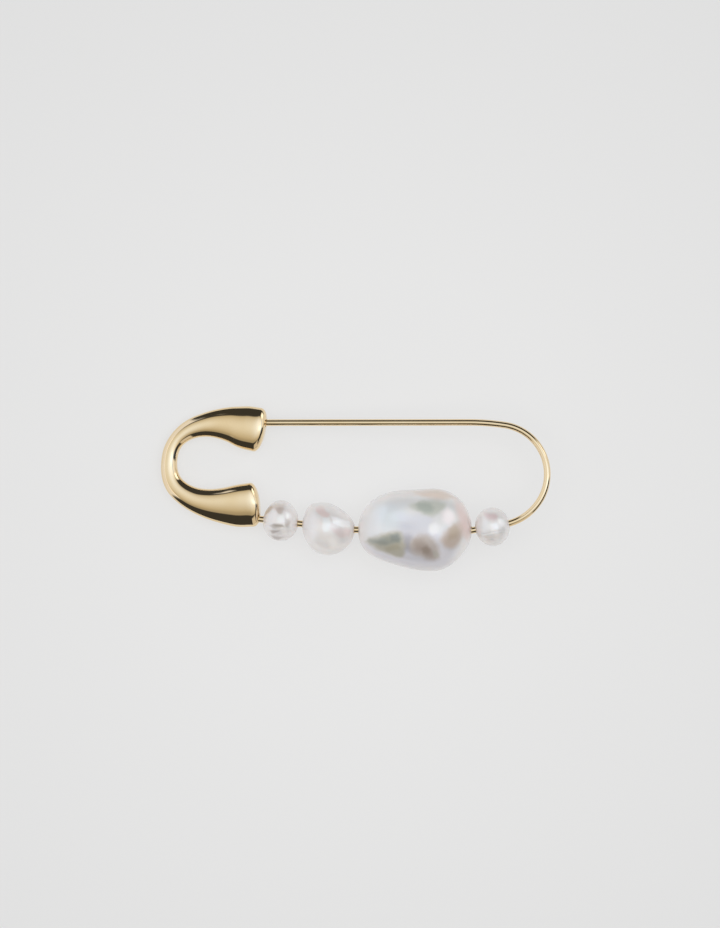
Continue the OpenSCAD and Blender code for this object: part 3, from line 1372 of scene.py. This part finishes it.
BUTTON_PEARL = Pearl(
    name="button_pearl",
    node="pearl_button",
    slot=Slot.WHITE,
    length=6.4,
    stretch=8,
    way=12.25,
    table=(
        (1.16, 1.16, 1.08, 1.05),
        (1.16, 1.13, 1.07, 1.05),
        (1.20, 1.10, 1.08, 1.06),
        (1.20, 1.10, 1.10, 1.08),
        (1.17, 1.11, 1.08, 1.07),
        (1.14, 1.14, 1.06, 1.05),
        (1.14, 1.16, 1.05, 1.05),
    ),
    dents=(Dent(110, 250, -0.12, 26),),
    grooves=(Groove(-0.97), Groove(-2.05), Groove(-2.77)),
)
BUTTON_NACRE = Nacre(
    name="tumbled_button_nacre",
    body="#f1eeec",
    painted_patches=(
        # Painted dark reflection along the side towards the needle, warm, and its deeper middle
        PaintedPatch("#e8ded6", 0.9, 0.35, (
            (-15.2, -2.8), (-12.7, -2.8), (-12.7, -3.6), (-13.2, -4.4), (-13.9, -4.4), (-14.7, -3.6),
        )),
        PaintedPatch("#d4c7bf", 0.85, 0.25, (
            (-14.3, -3.3), (-13.2, -3.4), (-12.7, -3.7), (-13.3, -4.7), (-13.9, -4.5),
        )),
        # Painted reflection of the gold clasp at the upper left
        PaintedPatch("#d0c2b6", 0.85, 0.2, (
            (-16.1, -3.9), (-15.0, -3.0), (-14.6, -3.3), (-15.4, -4.4), (-16.1, -5.0),
        )),
        # Grey band of painted shade below the middle, along a growth groove
        PaintedPatch("#bcb4ac", 0.95, 0.3, (
            (-15.2, -6.8), (-14.3, -6.3), (-13.4, -6.4), (-12.7, -6.8), (-13.6, -7.2), (-14.7, -7.2),
        )),
        # Two finer bands of painted shade below it, which follow the growth grooves
        PaintedPatch("#cbc2bd", 0.9, 0.2, (
            (-15.2, -7.7), (-14.5, -7.5), (-13.5, -7.8), (-14.1, -8.1), (-14.8, -8.2),
        )),
        PaintedPatch("#c8c0bd", 0.9, 0.2, (
            (-15.1, -8.4), (-14.0, -8.5), (-12.9, -8.9), (-13.6, -9.1), (-14.5, -8.9),
        )),
        # Faint painted dark reflection at the right, warm
        PaintedPatch("#d9d3cd", 0.9, 0.3, (
            (-12.6, -5.3), (-12.0, -5.4), (-11.4, -6.2), (-12.0, -7.0), (-12.5, -6.6),
        )),
        # Painted highlight in the middle, pale
        PaintedPatch("#f4f6f4", 0.8, 0.3, (
            (-13.9, -5.2), (-12.9, -4.6), (-12.7, -5.9), (-13.4, -6.2), (-13.9, -5.9),
        )),
        # Painted highlight at the upper right, white
        PaintedPatch("#ffffff", 0.9, 0.25, ((-12.3, -4.3), (-11.4, -4.4), (-11.4, -5.3), (-12.2, -5.3))),
    ),
)
DROP_PEARL = Pearl(
    name="drop_pearl",
    node="pearl_drop",
    slot=Slot.WHITE,
    length=9.6,
    stretch=8,
    way=3.5,
    table=(
        (1.45, 0.74, 1.05, 1.00),
        (1.26, 0.92, 1.02, 0.98),
        (0.99, 1.04, 0.98, 0.96),
        (0.87, 1.05, 0.95, 0.93),
        (0.76, 1.05, 0.88, 0.88),
        (0.69, 1.07, 0.82, 0.84),
        (0.60, 1.10, 0.80, 0.82),
    ),
    dents=(Dent(75, 60, -0.16, 26), Dent(120, 110, -0.05, 24)),
)
DROP_NACRE = Nacre(
    name="tumbled_drop_nacre",
    body="#f1eeec",
    painted_patches=(
        # Painted light over the lower part, which lifts a grey reflection there
        PaintedPatch("#fffaf6", 0.9, 1.0, (
            (-7.5, -8.9), (-3.5, -8.8), (-2.4, -10.2), (-3.9, -11.5), (-6.9, -11.3),
        )),
        # Rosy patches at the upper left and at the lower right
        PaintedPatch("#ecdad6", 0.85, 0.35, (
            (-6.9, -3.5), (-5.7, -3.5), (-4.2, -4.6), (-4.8, -5.5), (-5.8, -5.2), (-6.8, -4.3),
        )),
        PaintedPatch("#ecdedb", 0.8, 0.35, (
            (-3.9, -7.0), (-1.9, -7.1), (-0.6, -7.7), (-1.0, -8.6), (-2.4, -8.8), (-3.7, -8.0),
        )),
        # Painted highlight left of the middle, cool and pale
        PaintedPatch("#f8fcfc", 0.85, 0.3, (
            (-5.7, -5.5), (-4.6, -5.3), (-4.2, -6.4), (-4.6, -7.7), (-5.5, -7.7), (-5.8, -6.6),
        )),
        # Painted highlight along the upper right, white
        PaintedPatch("#ffffff", 1.0, 0.2, (
            (-4.2, -5.0), (-3.0, -5.1), (-1.0, -6.0), (-0.8, -7.1), (-2.4, -6.8), (-3.9, -6.1),
        )),
    ),
)
BAROQUE_PEARL = Pearl(
    name="baroque_pearl",
    node="pearl_baroque",
    slot=Slot.SILVER,
    length=20.5,
    stretch=6,
    way=9.55,
    table=(
        (0.87, 0.86, 0.74, 0.70),
        (0.80, 0.73, 0.68, 0.66),
        (0.75, 0.645, 0.64, 0.62),
        (0.71, 0.69, 0.61, 0.62),
        (0.82, 0.78, 0.68, 0.66),
        (0.90, 0.74, 0.70, 0.66),
        (0.90, 0.62, 0.70, 0.64),
    ),
    dents=(
        Dent(82, 75, -0.55, 20),
        Dent(72, 300, -0.50, 22),
        Dent(118, 285, -0.45, 20),
        Dent(48, 95, 0.25, 26),
        Dent(116, 100, 0.35, 22),
    ),
    squareness=2.2,
    sides=160,
    stations=140,
)
BAROQUE_NACRE = Nacre(
    name="baroque_silver_nacre",
    body="#eeeeed",
    painted_patches=(
        # Painted reflections: cool white on the upper left, cool lilac across the middle, and lilac over the
        # lower part
        PaintedPatch("#e6eef3", 0.8, 1.5, ((3.7, -3.0), (9.1, -3.0), (10.0, -7.1), (4.6, -7.5))),
        PaintedPatch("#e4e6ef", 0.8, 1.0, ((7.8, -4.4), (13.9, -4.6), (13.9, -8.0), (8.2, -8.2))),
        PaintedPatch("#d8d6df", 0.7, 1.2, (
            (1.2, -9.9), (8.2, -7.5), (15.4, -8.0), (18.3, -10.2),
            (17.2, -14.0), (13.6, -14.7), (9.0, -14.4), (4.2, -13.0),
        )),
        # Painted grey reflection on the ridge between the two lower hollows
        PaintedPatch("#b6b4ba", 0.95, 0.7, ((8.3, -8.2), (10.2, -8.3), (10.4, -11.1), (8.6, -11.1))),
        # Painted dark reflection in the upper hollow: pale green, with a deeper middle
        PaintedPatch("#d5d8cf", 0.95, 0.5, (
            (9.8, -2.8), (11.2, -2.4), (13.2, -2.0), (15.0, -2.1), (16.3, -2.8),
            (15.6, -3.7), (14.7, -4.6), (13.4, -5.2), (12.0, -4.4), (10.5, -3.8),
        )),
        PaintedPatch("#bec5bc", 0.9, 0.5, (
            (10.9, -2.8), (12.0, -2.5), (13.4, -2.5), (14.1, -3.4),
            (13.6, -4.3), (12.5, -4.4), (11.2, -3.7),
        )),
        # Painted dark reflection in the left hollow: olive, then grey green, then its darkest spot
        PaintedPatch("#c4c0b1", 0.95, 0.5, (
            (2.0, -9.4), (3.0, -8.6), (5.2, -8.0), (7.5, -7.5), (8.4, -7.8),
            (9.1, -10.2), (8.7, -12.0), (7.6, -12.3), (6.0, -11.9), (3.9, -11.0),
        )),
        PaintedPatch("#9ea39b", 0.85, 0.5, (
            (2.6, -9.2), (5.3, -8.5), (7.6, -8.0), (8.5, -8.7),
            (8.2, -9.8), (5.3, -10.0), (3.0, -9.8),
        )),
        PaintedPatch("#8b918c", 0.75, 0.4, ((6.2, -8.4), (7.6, -8.1), (8.2, -8.9), (7.6, -9.5), (6.4, -9.3))),
        # Painted reflection below that, golden in tone
        PaintedPatch("#b9b39e", 0.7, 0.4, ((5.3, -10.4), (7.8, -9.8), (8.2, -10.9), (5.7, -11.3))),
        # Painted dark reflection in the lower hollow: rosy brown, in three depths
        PaintedPatch("#c6bcb5", 0.9, 0.6, (
            (10.0, -9.1), (10.7, -8.5), (12.5, -8.1), (13.8, -8.5), (14.8, -10.0), (15.4, -11.5),
            (15.2, -12.5), (14.3, -12.9), (12.9, -12.7), (10.7, -12.0), (9.8, -10.9),
        )),
        PaintedPatch("#b3a59c", 0.8, 0.6, (
            (10.6, -9.0), (12.4, -9.0), (13.4, -10.4), (14.3, -11.6),
            (13.6, -12.4), (12.5, -12.0), (10.7, -10.9),
        )),
        PaintedPatch("#a4968a", 0.8, 0.4, (
            (11.8, -10.6), (12.9, -10.2), (13.6, -10.9), (13.0, -11.8), (12.0, -11.6),
        )),
        # Painted reflection at its right end, pale olive
        PaintedPatch("#bfbbb2", 0.8, 0.3, ((13.8, -11.3), (14.8, -11.1), (15.2, -12.2), (14.1, -12.5))),
        # Painted dark reflection in the right hollow: tan, with a golden middle
        PaintedPatch("#d3c2b4", 0.88, 0.7, (
            (15.9, -7.5), (17.3, -6.6), (18.2, -5.9), (19.5, -5.9), (19.9, -6.8),
            (19.5, -8.4), (18.9, -9.5), (17.8, -10.6), (16.1, -10.5), (15.3, -9.4),
        )),
        PaintedPatch("#c8b7a2", 0.75, 0.5, (
            (16.7, -7.5), (18.1, -6.8), (18.7, -7.5), (18.0, -8.8), (16.7, -9.2),
        )),
        # Peach along the upper edge, and rose along the right one
        PaintedPatch("#ecdccf", 0.9, 0.6, (
            (8.7, -0.7), (11.8, -0.2), (15.4, 0.1), (18.1, -1.6),
            (19.0, -2.6), (16.8, -2.6), (14.7, -2.0), (10.0, -2.3),
        )),
        PaintedPatch("#f3dcd6", 0.8, 0.9, (
            (18.1, -2.1), (19.3, -2.6), (21.0, -5.7), (20.8, -9.3), (19.5, -8.4), (18.3, -4.8),
        )),
        # Painted highlights: a white one in the middle, and a rosy one above the right hollow
        PaintedPatch("#ffffff", 0.85, 0.5, (
            (13.4, -6.6), (14.3, -6.1), (15.0, -6.6), (14.8, -7.7), (13.8, -8.0), (13.2, -7.5),
        )),
        PaintedPatch("#fff6f6", 0.95, 0.6, (
            (15.4, -4.3), (16.5, -3.5), (17.6, -4.1), (17.9, -5.7), (17.0, -6.6), (15.8, -5.9),
        )),
    ),
)
ROUND_PEARL = Pearl(
    name="round_pearl",
    node="pearl_round",
    slot=Slot.WHITE,
    length=6.3,
    stretch=4,
    way=2.2,
    table=(
        (1.08, 1.10, 1.05, 1.03),
        (1.08, 1.10, 1.05, 1.04),
        (1.08, 1.10, 1.06, 1.05),
        (1.09, 1.10, 1.06, 1.05),
        (1.09, 1.09, 1.05, 1.04),
        (1.08, 1.08, 1.04, 1.03),
        (1.08, 1.08, 1.04, 1.03),
    ),
    dents=(Dent(70, 80, -0.08, 30),),
    grooves=(Groove(-1.15), Groove(-1.7), Groove(-2.2)),
)
ROUND_NACRE = Nacre(
    name="tumbled_round_nacre",
    body="#f1eeec",
    painted_patches=(
        # Warm rim at the lower left
        PaintedPatch("#ecdfd9", 0.7, 0.3, (
            (22.1, -7.1), (22.6, -7.0), (23.3, -8.8), (24.3, -9.4), (24.8, -9.9), (22.9, -9.7),
        )),
        # Rosy patch at the top
        PaintedPatch("#ead8d8", 0.9, 0.4, (
            (23.2, -4.4), (25.1, -4.4), (25.6, -5.0), (24.8, -5.6), (23.7, -5.4),
        )),
        # Warm band near the lower edge
        PaintedPatch("#ece6e1", 0.8, 0.3, (
            (23.1, -8.3), (24.6, -8.3), (25.8, -8.4), (25.8, -8.8), (24.4, -8.9), (23.3, -8.8),
        )),
        # Faint cool patch at the left, painted light that covers the baroque pearl's rosy reflection
        PaintedPatch("#edf1f4", 0.5, 0.7, ((22.5, -5.4), (24.2, -5.7), (24.3, -8.0), (22.7, -8.2))),
        # Painted highlight right of the middle, pale
        PaintedPatch("#fafafa", 0.9, 0.3, (
            (24.2, -6.2), (25.3, -6.1), (25.6, -7.0), (25.5, -7.9), (24.4, -7.7),
        )),
        # Painted highlight at the upper right, white
        PaintedPatch("#ffffff", 1.0, 0.3, (
            (25.5, -5.2), (26.6, -5.3), (26.9, -6.4), (26.2, -6.8), (25.6, -6.1),
        )),
    ),
)

PEARLS = (
    (BUTTON_PEARL, BUTTON_NACRE),
    (DROP_PEARL, DROP_NACRE),
    (BAROQUE_PEARL, BAROQUE_NACRE),
    (ROUND_PEARL, ROUND_NACRE),
)


def main() -> None:
    """Builds the brooch and its studio, and reports each piece."""
    logging.basicConfig(level=logging.INFO, format="%(name)s %(message)s")
    pieces = [
        Clasp().build(GoldPlate("pale_gold_plate_on_casting")),
        PinWire().build(GoldPlate("pale_gold_plate_on_wire")),
        *(pearl.build(nacre) for pearl, nacre in PEARLS),
    ]
    for piece in pieces:
        LOG.info("%s: %d faces", piece.name, len(piece.data.polygons))
    Studio().build()


if __name__ == "__main__":
    main()
